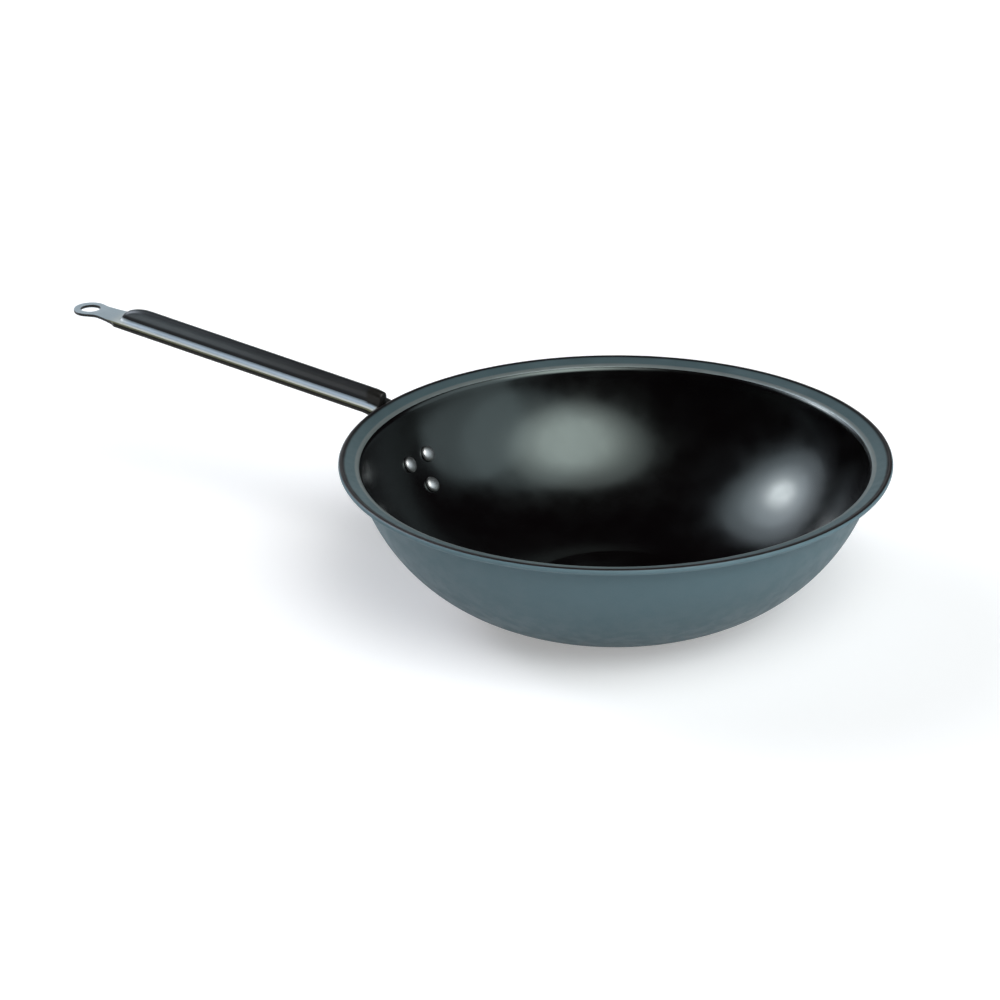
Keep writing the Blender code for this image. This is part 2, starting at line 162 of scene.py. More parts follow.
# Where the bowl's finish and its painted shade, highlight and dark reflection change, as the two ends of
# each fade:
# heights outside, and on the lip distances from the bowl's axis
# Painted shade: the outside is darker towards the base, and has its full colour above these heights
PAINTED_BASE_SHADE = (0.008, 0.080)
FLAME_BROWN = (0.0, 0.016)
LIP_INNER_EDGE = RIM_RADIUS - LIP_WIDTH
# Painted highlight: a lighter ring where the lip bends down into the coat
PAINTED_SHEEN_RING = (LIP_INNER_EDGE - 0.0002, LIP_INNER_EDGE + 0.0008)
# Painted dark reflection: a dark ring on the lip by its outer edge, its boundary wandering a little
DARK_REFLECTION_RING = (RIM_RADIUS - 0.0041, RIM_RADIUS - 0.0025)
DARK_REFLECTION_WANDER = 0.0006
COAT_SHARE_OF_BEND = 0.62
# How much of the lip's rounded edge takes the painted dark reflection
EDGE_SHARE_OF_ROUND = 0.32

# Where the handle's finish and its painted shade change, as the two ends of each fade.
# Distances from the bowl's axis:
RIB_STARTS = (0.154, 0.156)
# The root's fades bound the shade painted round the handle's root, by the lip
ROOT_STARTS = (0.156, 0.158)
BRINK_STARTS = (0.160, 0.1625)
GRIP_STARTS = (0.160, 0.165)
ROOT_ENDS_ON_MARGIN = (0.1618, 0.1632)
ROOT_ENDS = (0.1680, 0.1715)
# Where the rib's painted shade lightens towards the tab
RIB_LIGHTENS = (RIM_RADIUS + 0.02, 0.34)
GRIP_ENDS = (0.345, 0.358)
TAB_STARTS = (0.350, 0.362)
BRINK_ENDS = (0.358, 0.366)
# Heights above the strip's upper face:
TOPSIDE = (-0.0019, -0.0016)
CUT_EDGE = (-0.0003, 0.0)
RIB_FOOT = (0.0014, 0.0021)
# Painted shade in the crease at the rib's foot, and painted dark reflection along the crest
CREASE_FOOT = (0.0015, 0.0021)
CREASE_TOP = (0.0032, 0.0050)
CREST = (0.0078, 0.0092)
# Distances to the side of the handle's middle:
# Painted shade on the margin beside the rib, and on the brink, brown and then darker
DEEP_MARGIN = (0.0037, 0.0050)
BLUE_MARGIN = (0.0058, 0.0074)
BROWN_BRINK = (GRIP_WIDTH / 2 - 0.0037, GRIP_WIDTH / 2 - 0.0027)
DARK_BRINK = (0.0102, 0.0110)
# Y where the near margin ends:
NEAR_MARGIN = (-0.0052, -0.0040)

# How finely the pieces are made
BOWL_STEPS = 256
FLOOR_RINGS = 6
KNUCKLE_POINTS = 8
WALL_POINTS = 48
RIB_ARC_SIDES = 9
EDGE_SIDES = 4
STATION_GAP = 0.00005
RIVET_STEPS = 48
HEAD_POINTS = 12
TAIL_POINTS = 8
DRILL_SIDES = 64
DRILL_LENGTH = 0.030
SAME_POINT = 1e-7
ON_AXIS = 1e-9
HANDLE_CREASE = math.radians(35)
RIVET_CREASE = math.radians(40)


# Plane geometry, in (distance from the bowl's axis, height)


def direction(angle):
    return Vector((math.cos(angle), math.sin(angle)))


def mix(first, second, share):
    return first + (second - first) * share


def smooth_step(value, low, high):
    share = min(max((value - low) / (high - low), 0.0), 1.0)
    return share * share * (3.0 - 2.0 * share)


def arc(centre, radius, start, end, count):
    """Points of an arc, both ends included."""
    return [centre + direction(mix(start, end, i / (count - 1))) * radius for i in range(count)]


def circles_meet(first, first_radius, second, second_radius):
    """Where two circles cross, taking the higher of the two points."""
    apart = second - first
    distance = apart.length
    along = (first_radius**2 - second_radius**2 + distance**2) / (2.0 * distance)
    aside = math.sqrt(first_radius**2 - along**2)
    foot = first + apart * (along / distance)
    normal = Vector((-apart.y, apart.x)) / distance
    return max(foot + normal * aside, foot - normal * aside, key=lambda point: point.y)


# The bowl's section: the base's knuckle, the wall's arc, and the lip's bend, flat and rounded edge

LIP_ALONG = direction(LIP_SLOPE)
LIP_UP = Vector((-LIP_ALONG.y, LIP_ALONG.x))
LIP_EDGE = Vector((RIM_RADIUS - BOWL_WALL / 2, BOWL_HEIGHT - BOWL_WALL / 2))
LIP_RUN = (LIP_WIDTH - BOWL_WALL / 2) / LIP_ALONG.x
LIP_BEND = LIP_EDGE - LIP_ALONG * LIP_RUN - LIP_UP * (LIP_BEND_RADIUS + BOWL_WALL / 2)
KNUCKLE = Vector((BASE_RADIUS, KNUCKLE_RADIUS))
WALL_CENTRE = circles_meet(
    LIP_BEND, WALL_CURVE_RADIUS + LIP_BEND_RADIUS, KNUCKLE, WALL_CURVE_RADIUS - KNUCKLE_RADIUS
)
TO_BEND = LIP_BEND - WALL_CENTRE
TO_KNUCKLE = KNUCKLE - WALL_CENTRE
WALL_TOP_ANGLE = math.atan2(TO_BEND.y, TO_BEND.x)
WALL_FOOT_ANGLE = math.atan2(TO_KNUCKLE.y, TO_KNUCKLE.x)


def wall_angle(depth):
    """The angle on the wall's arc at a depth below the rim."""
    return math.asin((BOWL_HEIGHT - depth - WALL_CENTRE.y) / WALL_CURVE_RADIUS)


class HandleLine:
    """The handle's upper face along its length, as a distance from where the plate leaves the wall.

    Below 0 it follows the bowl's wall. Then come the elbow, the grip, a slight bend and the tab.
    """

    def __init__(self):
        self.plate_radius = WALL_CURVE_RADIUS + GAP
        along = direction(GRIP_RISE)
        up = Vector((-along.y, along.x))
        start = Vector((RIM_RADIUS, BOWL_HEIGHT - GRIP_DROP)) - up * ELBOW_RADIUS
        offset = start - WALL_CENTRE
        reach = self.plate_radius + ELBOW_RADIUS
        half = offset.dot(along)
        run = math.sqrt(half**2 - offset.length_squared + reach**2) - half
        self.elbow = start + along * run
        to_elbow = self.elbow - WALL_CENTRE
        self.plate_angle = math.atan2(to_elbow.y, to_elbow.x)
        self.leaving = self.plate_angle + math.pi / 2
        self.elbow_length = ELBOW_RADIUS * (self.leaving - GRIP_RISE)
        self.grip_start = self.elbow + up * ELBOW_RADIUS
        bend_length = TAB_BEND_RADIUS * (GRIP_RISE - TAB_RISE)
        bend_reach = TAB_BEND_RADIUS * (math.sin(GRIP_RISE) - math.sin(TAB_RISE))
        tab_start = HANDLE_REACH - TAB_LENGTH * math.cos(TAB_RISE)
        self.grip_length = (tab_start - bend_reach - self.grip_start.x) / along.x
        self.bend_start = self.elbow_length + self.grip_length
        self.tab_start = self.bend_start + bend_length
        self.end = self.tab_start + TAB_LENGTH
        self.eye = self.end - EYE_RADIUS - EYE_RIM_WIDTH
        self.bend_centre = self.grip_start + along * self.grip_length - up * TAB_BEND_RADIUS
        self.upper_row = (wall_angle(RIVET_ROW_UPPER) - self.plate_angle) * self.plate_radius
        self.lower_row = (wall_angle(RIVET_ROW_LOWER) - self.plate_angle) * self.plate_radius
        slope = math.asin((self.elbow.x - RIM_RADIUS - RIB_ROOT_TO_RIM) / ELBOW_RADIUS)
        self.root = (self.leaving - slope) * ELBOW_RADIUS
        self.nose = self.eye - RIB_NOSE_TO_EYE
        self.neck = self.eye - NECK_TO_EYE
        self.shoulder = self.eye - SHOULDER_TO_EYE

    def at(self, distance):
        """The point on the upper face and the line's slope there."""
        if distance < 0:
            angle = self.plate_angle + distance / self.plate_radius
            return WALL_CENTRE + direction(angle) * self.plate_radius, angle + math.pi / 2
        if distance < self.elbow_length:
            slope = self.leaving - distance / ELBOW_RADIUS
            return self.elbow + direction(slope + math.pi / 2) * ELBOW_RADIUS, slope
        if distance < self.bend_start:
            run = distance - self.elbow_length
            return self.grip_start + direction(GRIP_RISE) * run, GRIP_RISE
        turn = min(distance, self.tab_start) - self.bend_start
        slope = GRIP_RISE - turn / TAB_BEND_RADIUS
        point = self.bend_centre + direction(slope + math.pi / 2) * TAB_BEND_RADIUS
        return point + direction(slope) * max(distance - self.tab_start, 0.0), slope


LINE = HandleLine()


# Camera and lamps

UP = Vector((0.0, 0.0, 1.0))
VIEW_AWAY = Vector((-math.sin(VIEW_AZIMUTH), math.cos(VIEW_AZIMUTH), 0.0))
VIEW_RIGHT = Vector((math.cos(VIEW_AZIMUTH), math.sin(VIEW_AZIMUTH), 0.0))
RIM_CENTRE = UP * BOWL_HEIGHT


def make_camera():
    toward_camera = UP * math.sin(VIEW_ELEVATION) - VIEW_AWAY * math.cos(VIEW_ELEVATION)
    place = RIM_CENTRE + toward_camera * VIEW_DISTANCE
    forward = (RIM_CENTRE + VIEW_RIGHT * AIM_RIGHT + UP * AIM_UP - place).normalized()
    level_right = forward.cross(UP).normalized()
    level_up = level_right.cross(forward)
    right = level_right * math.cos(VIEW_ROLL) + level_up * math.sin(VIEW_ROLL)
    matrix = Matrix((right, right.cross(forward), -forward)).transposed().to_4x4()
    matrix.translation = place
    data = bpy.data.cameras.new("camera")
    data.sensor_width = SENSOR_WIDTH
    data.lens = LENS
    data.clip_start = NEAR_CLIP
    camera = bpy.data.objects.new("camera", data)
    camera.matrix_world = matrix
    bpy.context.scene.collection.objects.link(camera)
    bpy.context.scene.camera = camera


def seen_from(azimuth, elevation):
    """The direction at two angles in degrees. Azimuth 0 is the way the camera looks, 90 is to its right."""
    turn, rise = math.radians(azimuth), math.radians(elevation)
    level = VIEW_AWAY * math.cos(turn) + VIEW_RIGHT * math.sin(turn)
    return level * math.cos(rise) + UP * math.sin(rise)


def place_lamp(name, data, azimuth, elevation, distance):
    """Puts a lamp where the bowl's mouth sees it in this direction, and turns it to face the mouth."""
    toward = seen_from(azimuth, elevation)
    matrix = toward.to_track_quat("Z", "Y").to_matrix().to_4x4()
    matrix.translation = RIM_CENTRE + toward * distance
    lamp = bpy.data.objects.new(name, data)
    lamp.matrix_world = matrix
    bpy.context.scene.collection.objects.link(lamp)


def make_sky_disc(name, azimuth, elevation, width, radiance, colour):
    """A far round soft light, as wide in degrees as it is seen. Its radiance is how bright it looks."""
    data = bpy.data.lights.new(name, "SUN")
    data.angle = math.radians(width)
    data.energy = radiance * math.pi * math.sin(data.angle / 2) ** 2
    data.color = colour
    place_lamp(name, data, azimuth, elevation, SKY_DISC_DISTANCE)


def make_far_strip():
    """A wide soft box beyond the object, which the lip mirrors at its left and right sides."""
    data = bpy.data.lights.new("far_strip", "AREA")
    data.shape = "RECTANGLE"
    data.size = STRIP_WIDTH
    data.size_y = STRIP_HEIGHT
    data.energy = STRIP_RADIANCE * math.pi * STRIP_WIDTH * STRIP_HEIGHT
    data.color = STRIP_COLOUR
    place_lamp("far_strip", data, STRIP_AZIMUTH, STRIP_ELEVATION, STRIP_DISTANCE)


def make_lights():
    for name, disc in SKY_DISCS.items():
        make_sky_disc(name, *disc)
    make_far_strip()


# Node trees

# A Mix node has sockets for each kind of value. These are its two colours and its mixed one.
MIX_FIRST, MIX_SECOND, MIXED = 6, 7, 2


class Tree:
    """The node tree of a material or a world, with short ways to add nodes and join them."""

    def __init__(self, owner):
        owner.use_nodes = True
        self.owner = owner
        self.nodes = owner.node_tree.nodes
        self.links = owner.node_tree.links

    def add(self, kind, inputs=None, **settings):
        node = self.nodes.new(kind)
        for key, value in settings.items():
            setattr(node, key, value)
        for key, value in (inputs or {}).items():
            self.join(value, node.inputs[key])
        return node

    def join(self, value, socket):
        if isinstance(value, bpy.types.NodeSocket):
            self.links.new(value, socket)
        else:
            socket.default_value = value

    def place(self):
        return self.add("ShaderNodeTexCoord").outputs["Object"]

    def axis(self, name):
        return self.add("ShaderNodeSeparateXYZ", {"Vector": self.place()}).outputs[name]

    def from_axis(self):
        """Distance from the bowl's axis."""
        flat = self.add("ShaderNodeVectorMath", {0: self.place(), 1: (1.0, 1.0, 0.0)}, operation="MULTIPLY")
        length = self.add("ShaderNodeVectorMath", {0: flat.outputs["Vector"]}, operation="LENGTH")
        return length.outputs["Value"]

    def noise(self, scale, detail=2.0, stretch=None):
        """Noise with a value from 0 to 1. Its scale is in cells a metre."""
        vector = self.place()
        if stretch:
            vector = self.add("ShaderNodeMapping", {"Vector": vector, "Scale": stretch}).outputs["Vector"]
        inputs = {"Vector": vector, "Scale": scale, "Detail": detail}
        return self.add("ShaderNodeTexNoise", inputs).outputs["Fac"]

    def math(self, operation, first, second=0.0):
        node = self.add("ShaderNodeMath", operation=operation)
        self.join(first, node.inputs[0])
        self.join(second, node.inputs[1])
        return node.outputs["Value"]

    def product(self, *values):
        result = values[0]
        for value in values[1:]:
            result = self.math("MULTIPLY", result, value)
        return result

    def largest(self, *values):
        result = values[0]
        for value in values[1:]:
            result = self.math("MAXIMUM", result, value)
        return result

    def ramp(self, value, low, high, out_low=0.0, out_high=1.0, smooth=True):
        """value from low to high, made out_low to out_high and held at its ends."""
        kind = "SMOOTHSTEP" if smooth else "LINEAR"
        inputs = {"Value": value, "From Min": low, "From Max": high, "To Min": out_low, "To Max": out_high}
        return self.add("ShaderNodeMapRange", inputs, interpolation_type=kind).outputs["Result"]

    def past(self, value, fade, most=1.0):
        """0 before the fade and most past it."""
        return self.ramp(value, *fade, 0.0, most)

    def before(self, value, fade, most=1.0):
        """most before the fade and 0 past it."""
        return self.ramp(value, *fade, most, 0.0)

    def uneven(self, low, high, noise):
        """A value from low to high, as the noise has it."""
        return self.ramp(noise, *MIDDLE, low, high)

    def blend(self, share, first, second):
        node = self.add("ShaderNodeMix", data_type="RGBA")
        self.join(share, node.inputs["Factor"])
        self.join(first, node.inputs[MIX_FIRST])
        self.join(second, node.inputs[MIX_SECOND])
        return node.outputs[MIXED]

    def bump(self, height, strength, distance):
        inputs = {"Height": height, "Strength": strength, "Distance": distance}
        return self.add("ShaderNodeBump", inputs).outputs["Normal"]

    def surface(self, **values):
        """Sets the material's shader, and returns the material."""
        names = {
            "colour": "Base Color",
            "roughness": "Roughness",
            "metallic": "Metallic",
            "normal": "Normal",
            "specular": "Specular IOR Level",
            "tint": "Specular Tint",
        }
        shader = self.nodes["Principled BSDF"]
        for key, value in values.items():
            self.join(value, shader.inputs[names[key]])
        return self.owner


def material_tree(name):
    return Tree(bpy.data.materials.new(name))


def rgb(red, green, blue):
    return (red, green, blue, 1.0)


# World and floor


def make_world():
    """A dim studio all round, that is white where the camera looks past the floor.

    Near the horizon it is white for reflections too. Higher up they show the dim studio, as the coat's do
    in the photograph.
    """
    world = bpy.data.worlds.new("studio")
    bpy.context.scene.world = world
    tree = Tree(world)
    dim = tree.nodes["Background"]
    tree.join(STUDIO_COLOUR, dim.inputs["Color"])
    tree.join(STUDIO_STRENGTH, dim.inputs["Strength"])
    white = tree.add("ShaderNodeBackground", {"Color": WHITE, "Strength": 1.0})
    way = tree.add("ShaderNodeTexCoord").outputs["Generated"]
    height = tree.add("ShaderNodeSeparateXYZ", {"Vector": way}).outputs["Z"]
    horizon = tree.ramp(height, *HORIZON, 1.0, 0.0, smooth=False)
    path = tree.add("ShaderNodeLightPath").outputs
    mirrored = tree.largest(path["Is Glossy Ray"], path["Is Transmission Ray"])
    seen = tree.largest(path["Is Camera Ray"], tree.product(mirrored, horizon))
    inputs = {0: seen, 1: dim.outputs["Background"], 2: white.outputs["Background"]}
    both = tree.add("ShaderNodeMixShader", inputs)
    tree.join(both.outputs["Shader"], tree.nodes["World Output"].inputs["Surface"])


def floor_material():
    """White, and held at white for the camera and for reflections, with the object's shadow kept."""
    tree = material_tree("white_floor")
    path = tree.add("ShaderNodeLightPath").outputs
    seen = tree.largest(path["Is Camera Ray"], path["Is Glossy Ray"], path["Is Transmission Ray"])
    glow = tree.add("ShaderNodeEmission", {"Strength": tree.product(seen, FLOOR_GLOW)})
    material = tree.surface(colour=rgb(0.80, 0.80, 0.80), roughness=0.9, specular=0.0)
    inputs = {0: tree.nodes["Principled BSDF"].outputs["BSDF"], 1: glow.outputs["Emission"]}
    both = tree.add("ShaderNodeAddShader", inputs)
    tree.join(both.outputs["Shader"], tree.nodes["Material Output"].inputs["Surface"])
    return material


def make_floor():
    """A wide floor, just under the base so that the two faces stay apart."""
    mesh = bpy.data.meshes.new("floor")
    signs = ((-1, -1), (1, -1), (1, 1), (-1, 1))
    corners = [(x * FLOOR_REACH, y * FLOOR_REACH, 0.0) for x, y in signs]
    mesh.from_pydata(corners, [], [(0, 1, 2, 3)])
    mesh.materials.append(floor_material())
    floor = bpy.data.objects.new("floor", mesh)
    floor.location.z = -FLOOR_DROP
    bpy.context.scene.collection.objects.link(floor)


# The bowl's and the rivets' finishes


def outside_material():
    """Blue-grey satin finish, with shade painted in to make it darker towards the base, and a little
    browner where the flame reaches.
    """
    tree = material_tree("blue_grey_finish")
    cloud = tree.noise(14.0, detail=3.0)
    grain = tree.noise(FINE_GRAIN, detail=1.0)
    height = tree.axis("Z")
    full = tree.blend(cloud, rgb(0.098, 0.160, 0.182), rgb(0.118, 0.188, 0.213))
    # Painted shade: the darker colour low on the wall
    painted_shade_colour = tree.blend(cloud, rgb(0.031, 0.065, 0.078), rgb(0.042, 0.081, 0.095))
    colour = tree.blend(tree.ramp(height, *PAINTED_BASE_SHADE, smooth=False), painted_shade_colour, full)
    browned = tree.before(height, FLAME_BROWN, most=0.5)
    colour = tree.blend(browned, colour, rgb(0.11, 0.105, 0.085))
    speckled = tree.past(grain, SPECKLE, most=0.15)
    colour = tree.blend(speckled, colour, rgb(0.15, 0.21, 0.23))
    roughness = tree.uneven(0.46, 0.58, tree.noise(120.0, detail=3.0))
    normal = tree.bump(grain, strength=0.12, distance=0.00004)
    return tree.surface(colour=colour, roughness=roughness, metallic=0.0, specular=0.25, normal=normal)


def lip_material():
    """The same finish polished on the lip, with a painted highlight along the coat and a painted dark
    reflection round the edge.
    """
    tree = material_tree("lip_finish")
    cloud = tree.noise(30.0, detail=3.0)
    colour = tree.blend(cloud, rgb(0.112, 0.176, 0.192), rgb(0.158, 0.228, 0.242))
    reach = tree.from_axis()
    # Painted highlight on the bend into the coat
    painted_sheen = tree.before(reach, PAINTED_SHEEN_RING, most=0.6)
    colour = tree.blend(painted_sheen, colour, rgb(0.34, 0.36, 0.34))
    # Painted dark reflection round the outer edge
    wander = tree.product(tree.noise(60.0), DARK_REFLECTION_WANDER)
    dark_reflection = tree.past(tree.math("ADD", reach, wander), DARK_REFLECTION_RING)
    colour = tree.blend(dark_reflection, colour, rgb(0.014, 0.012, 0.013))
    roughness = tree.uneven(0.34, 0.44, tree.noise(160.0, detail=3.0))
    normal = tree.bump(tree.noise(FINE_GRAIN, detail=1.0), strength=0.08, distance=0.00003)
    return tree.surface(colour=colour, roughness=roughness, metallic=0.65, normal=normal)


def edge_dark_reflection_material():
    """Painted dark reflection round the top of the lip's edge."""
    tree = material_tree("edge_dark_reflection")
    cloud = tree.noise(90.0, detail=3.0)
    colour = tree.blend(cloud, rgb(0.008, 0.007, 0.007), rgb(0.020, 0.016, 0.016))
    normal = tree.bump(tree.noise(1800.0), strength=0.06, distance=0.00003)
    return tree.surface(colour=colour, roughness=0.34, normal=normal)


def coat_material():
    """Black non-stick coat: a deep gloss with a fine sprayed grain, dulled in patches by faint wear."""
    tree = material_tree("nonstick_coat")
    cloud = tree.noise(45.0, detail=4.0)
    colour = tree.blend(cloud, rgb(0.0008, 0.0001, 0.0003), rgb(0.0014, 0.0003, 0.0007))
    roughness = tree.uneven(0.18, 0.24, tree.noise(60.0, detail=4.0))
    normal = tree.bump(tree.noise(1500.0), strength=0.05, distance=0.00004)
    tint = rgb(0.84, 1.0, 0.95)
    return tree.surface(colour=colour, roughness=roughness, specular=0.68, normal=normal, tint=tint)


def rivet_material():
    """Bare aluminium, faintly dented by the rivet set."""
    tree = material_tree("rivet_aluminium")
    cloud = tree.noise(500.0, detail=3.0)
    colour = tree.blend(cloud, rgb(0.34, 0.35, 0.35), rgb(0.50, 0.51, 0.50))
    roughness = tree.uneven(0.34, 0.46, tree.noise(900.0, detail=3.0))
    normal = tree.bump(tree.noise(700.0), strength=0.1, distance=0.0001)
    return tree.surface(colour=colour, roughness=roughness, metallic=1.0, normal=normal)


# The handle's finish, with shade and dark reflection painted into it. out is the distance along the handle
# from the bowl's axis, aside the distance to either side of its middle, and above the height above the
# strip's upper face.


def height_above_strip(tree, out):
    """Height above the strip's upper face, which is an arc at the elbow and then two straight runs."""
    back = tree.math("SUBTRACT", LINE.elbow.x, out)
    back = tree.largest(back, ELBOW_RADIUS * math.sin(GRIP_RISE))
    fall = tree.math("SUBTRACT", ELBOW_RADIUS**2, tree.product(back, back))
    arch = tree.math("ADD", tree.math("SQRT", fall), LINE.elbow.y)
    beyond = tree.largest(tree.math("SUBTRACT", out, LINE.grip_start.x), 0.0)
    grip = tree.math("ADD", arch, tree.product(beyond, math.tan(GRIP_RISE)))
    eye, _ = LINE.at(LINE.eye)
    tab = tree.product(tree.math("SUBTRACT", out, eye.x), math.tan(TAB_RISE))
    face = tree.math("MINIMUM", grip, tree.math("ADD", tab, eye.y))
    return tree.math("SUBTRACT", tree.axis("Z"), face)


def flat_colour(tree, out, aside, topside):
    """Bright on the margins and the tab, with painted shade: blue and darker where a margin turns up into
    the rib, brown at its brink.
    """
    along = tree.noise(260.0, detail=3.0, stretch=ALONG_HANDLE)
    bright = tree.blend(along, rgb(0.63, 0.66, 0.62), rgb(0.78, 0.80, 0.74))
    blue = tree.blend(along, rgb(0.42, 0.51, 0.60), rgb(0.50, 0.60, 0.70))
    painted_shade_colour = tree.blend(along, rgb(0.13, 0.18, 0.20), rgb(0.18, 0.23, 0.26))
    on_grip = tree.product(tree.before(out, GRIP_ENDS), tree.past(out, GRIP_STARTS))
    # Painted shade beside the rib: blue, then darker near its foot
    colour = tree.blend(tree.product(tree.before(aside, BLUE_MARGIN), on_grip), bright, blue)
    colour = tree.blend(tree.product(tree.before(aside, DEEP_MARGIN), on_grip), colour, painted_shade_colour)
    colour = tree.blend(tree.past(out, TAB_STARTS, most=0.5), colour, rgb(0.14, 0.27, 0.41))
    # Painted shade on the rounded brink: brown
    along_brink = tree.product(tree.past(out, BRINK_STARTS), tree.before(out, BRINK_ENDS))
    brown = tree.product(tree.past(aside, BROWN_BRINK), topside, along_brink)
    return tree.blend(brown, colour, rgb(0.17, 0.17, 0.105))


def rib_colour(tree, out, above):
    """Painted shade and dark reflection: dark, lighter towards the tab, and darkest along the crest and in
    the crease at the rib's foot.
    """
    toward_tab = tree.past(out, RIB_LIGHTENS)
    colour = tree.blend(toward_tab, rgb(0.035, 0.037, 0.038), rgb(0.080, 0.093, 0.100))
    colour = tree.blend(tree.past(above, CREST, most=0.62), colour, rgb(0.006, 0.006, 0.007))
    crease = tree.product(tree.past(above, CREASE_FOOT, most=0.95), tree.before(above, CREASE_TOP))
    return tree.blend(crease, colour, rgb(0.005, 0.005, 0.007))


def painted_shade_share(tree, out, aside, above, topside):
    """Share of painted shade: 1 on the sheet's cut edge, along the grip's brink and round the handle's
    root, which is darkened.
    """
    brink = tree.product(tree.past(aside, DARK_BRINK), tree.before(out, BRINK_ENDS))
    side = tree.largest(tree.before(above, CUT_EDGE), brink)
    side = tree.product(side, topside, tree.past(out, BRINK_STARTS))
    past_margin = tree.past(tree.axis("Y"), NEAR_MARGIN)
    root = tree.product(past_margin, tree.before(out, ROOT_ENDS))
    root = tree.largest(root, tree.before(out, ROOT_ENDS_ON_MARGIN))
    root = tree.product(root, tree.past(out, ROOT_STARTS), topside)
    return tree.largest(side, root)


def handle_material():
    """Plated steel: bright where it is flat, with painted shade and dark reflection making the rib and the
    edges dark.
    """
    tree = material_tree("pressed_steel")
    out = tree.product(tree.axis("X"), -1.0)
    aside = tree.math("ABSOLUTE", tree.axis("Y"))
    above = height_above_strip(tree, out)
    topside = tree.past(above, TOPSIDE)
    rib = tree.product(tree.past(above, RIB_FOOT), tree.past(out, RIB_STARTS))
    colour = tree.blend(rib, flat_colour(tree, out, aside, topside), rib_colour(tree, out, above))
    black = painted_shade_share(tree, out, aside, above, topside)
    # Painted shade on the cut edge, the brink and the root
    colour = tree.blend(black, colour, rgb(0.012, 0.011, 0.009))
    roughness = tree.uneven(0.34, 0.44, tree.noise(500.0, detail=3.0, stretch=LONG_STREAKS))
    streaks = tree.noise(900.0, stretch=LONG_STREAKS)
    normal = tree.bump(streaks, strength=0.05, distance=0.00003)
    return tree.surface(colour=colour, roughness=roughness, metallic=0.35, specular=0.4, normal=normal)


# Meshes


def lathe(name, sections, steps, materials):
    """A solid turned about Z.

    sections is a list of (points, material number), where each run starts at the last one's end.
    """
    points, numbers = [sections[0][0][0]], []
    for run, number in sections:
        for point in run:
            if (point - points[-1]).length > SAME_POINT:
                points.append(point)
                numbers.append(number)
    vertices, rings = [], []
    for point in points:
        count = 1 if point.x < ON_AXIS else steps
        rings.append([len(vertices) + (i % count) for i in range(steps)])
        for i in range(count):
            angle = 2.0 * math.pi * i / steps
            vertices.append((point.x * math.cos(angle), point.x * math.sin(angle), point.y))
    faces, chosen = [], []
    for number, first, second in zip(numbers, rings, rings[1:]):
        for i in range(steps):
            j = (i + 1) % steps
            corners = [first[i], second[i], second[j], first[j]]
            faces.append(list(dict.fromkeys(corners)))
            chosen.append(number)
    mesh = bpy.data.meshes.new(name)
    mesh.from_pydata(vertices, [], faces)
    mesh.polygons.foreach_set("material_index", chosen)
    for material in materials:
        mesh.materials.append(material)
    mesh.shade_smooth()
    return mesh


def drill(matrix, radius):
    """A cutter for one hole, in place along the matrix's Z axis."""
    form = bmesh.new()
    bmesh.ops.create_cone(
        form, cap_ends=True, segments=DRILL_SIDES, radius1=radius, radius2=radius, depth=DRILL_LENGTH
    )
    mesh = bpy.data.meshes.new("drill")
    form.to_mesh(mesh)
    form.free()
    mesh.transform(matrix)
    return bpy.data.objects.new("drill", mesh)


def with_holes(mesh, drills):
    """The mesh with each drill's hole cut through it."""
    body = bpy.data.objects.new("uncut", mesh)
    scene = bpy.context.scene.collection.objects
    for thing in [body] + drills:
        scene.link(thing)
    for cutter in drills:
        cut = body.modifiers.new("cut", "BOOLEAN")
        cut.operation = "DIFFERENCE"
        cut.solver = "EXACT"
        cut.object = cutter
    graph = bpy.context.evaluated_depsgraph_get()
    made = bpy.data.meshes.new_from_object(body.evaluated_get(graph))
    for thing in [body] + drills:
        bpy.data.objects.remove(thing)
    return made


def add_piece(name, mesh, node):
    piece = bpy.data.objects.new(name, mesh)
    bpy.context.scene.collection.objects.link(piece)
    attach(piece, "root")
    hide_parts(node)


# Rivets

# Each rivet's depth below the rim and its place across the handle
RIVET_PLACES = {
    "rivet_upper_left": (RIVET_ROW_UPPER, -RIVET_SPREAD / 2),
    "rivet_upper_right": (RIVET_ROW_UPPER, RIVET_SPREAD / 2),
    "rivet_lower": (RIVET_ROW_LOWER, 0.0),
}


def rivet_place(depth, sideways):
    """The rivet's matrix: its origin on the bowl's outer face, its Z axis square to the wall."""
    angle = wall_angle(depth)
    radius = WALL_CENTRE.x + WALL_CURVE_RADIUS * math.cos(angle)
    round_by = math.asin(sideways / radius)
    outward = Vector((-math.cos(round_by), math.sin(round_by), 0.0))
    normal = outward * math.cos(angle) + UP * math.sin(angle)
    place = Matrix.Translation(outward * radius + UP * (BOWL_HEIGHT - depth))
    return place @ normal.to_track_quat("Z", "Y").to_matrix().to_4x4()


def rivet_drills():
    radius = SHANK_RADIUS + HOLE_CLEARANCE
    return [drill(rivet_place(*place), radius) for place in RIVET_PLACES.values()]


def dome(radius, face, height, count):
    """A rivet head's outline from its rim to its middle. A height below 0 points it down."""
    rim = math.copysign(HEAD_RIM, height)
    points = []
    for i in range(count):
        angle = math.pi / 2 * i / (count - 1)
        level = face + rim + (height - rim) * math.sin(angle)
        points.append(Vector((radius * math.cos(angle), level)))
    points[-1].x = 0.0
    return points


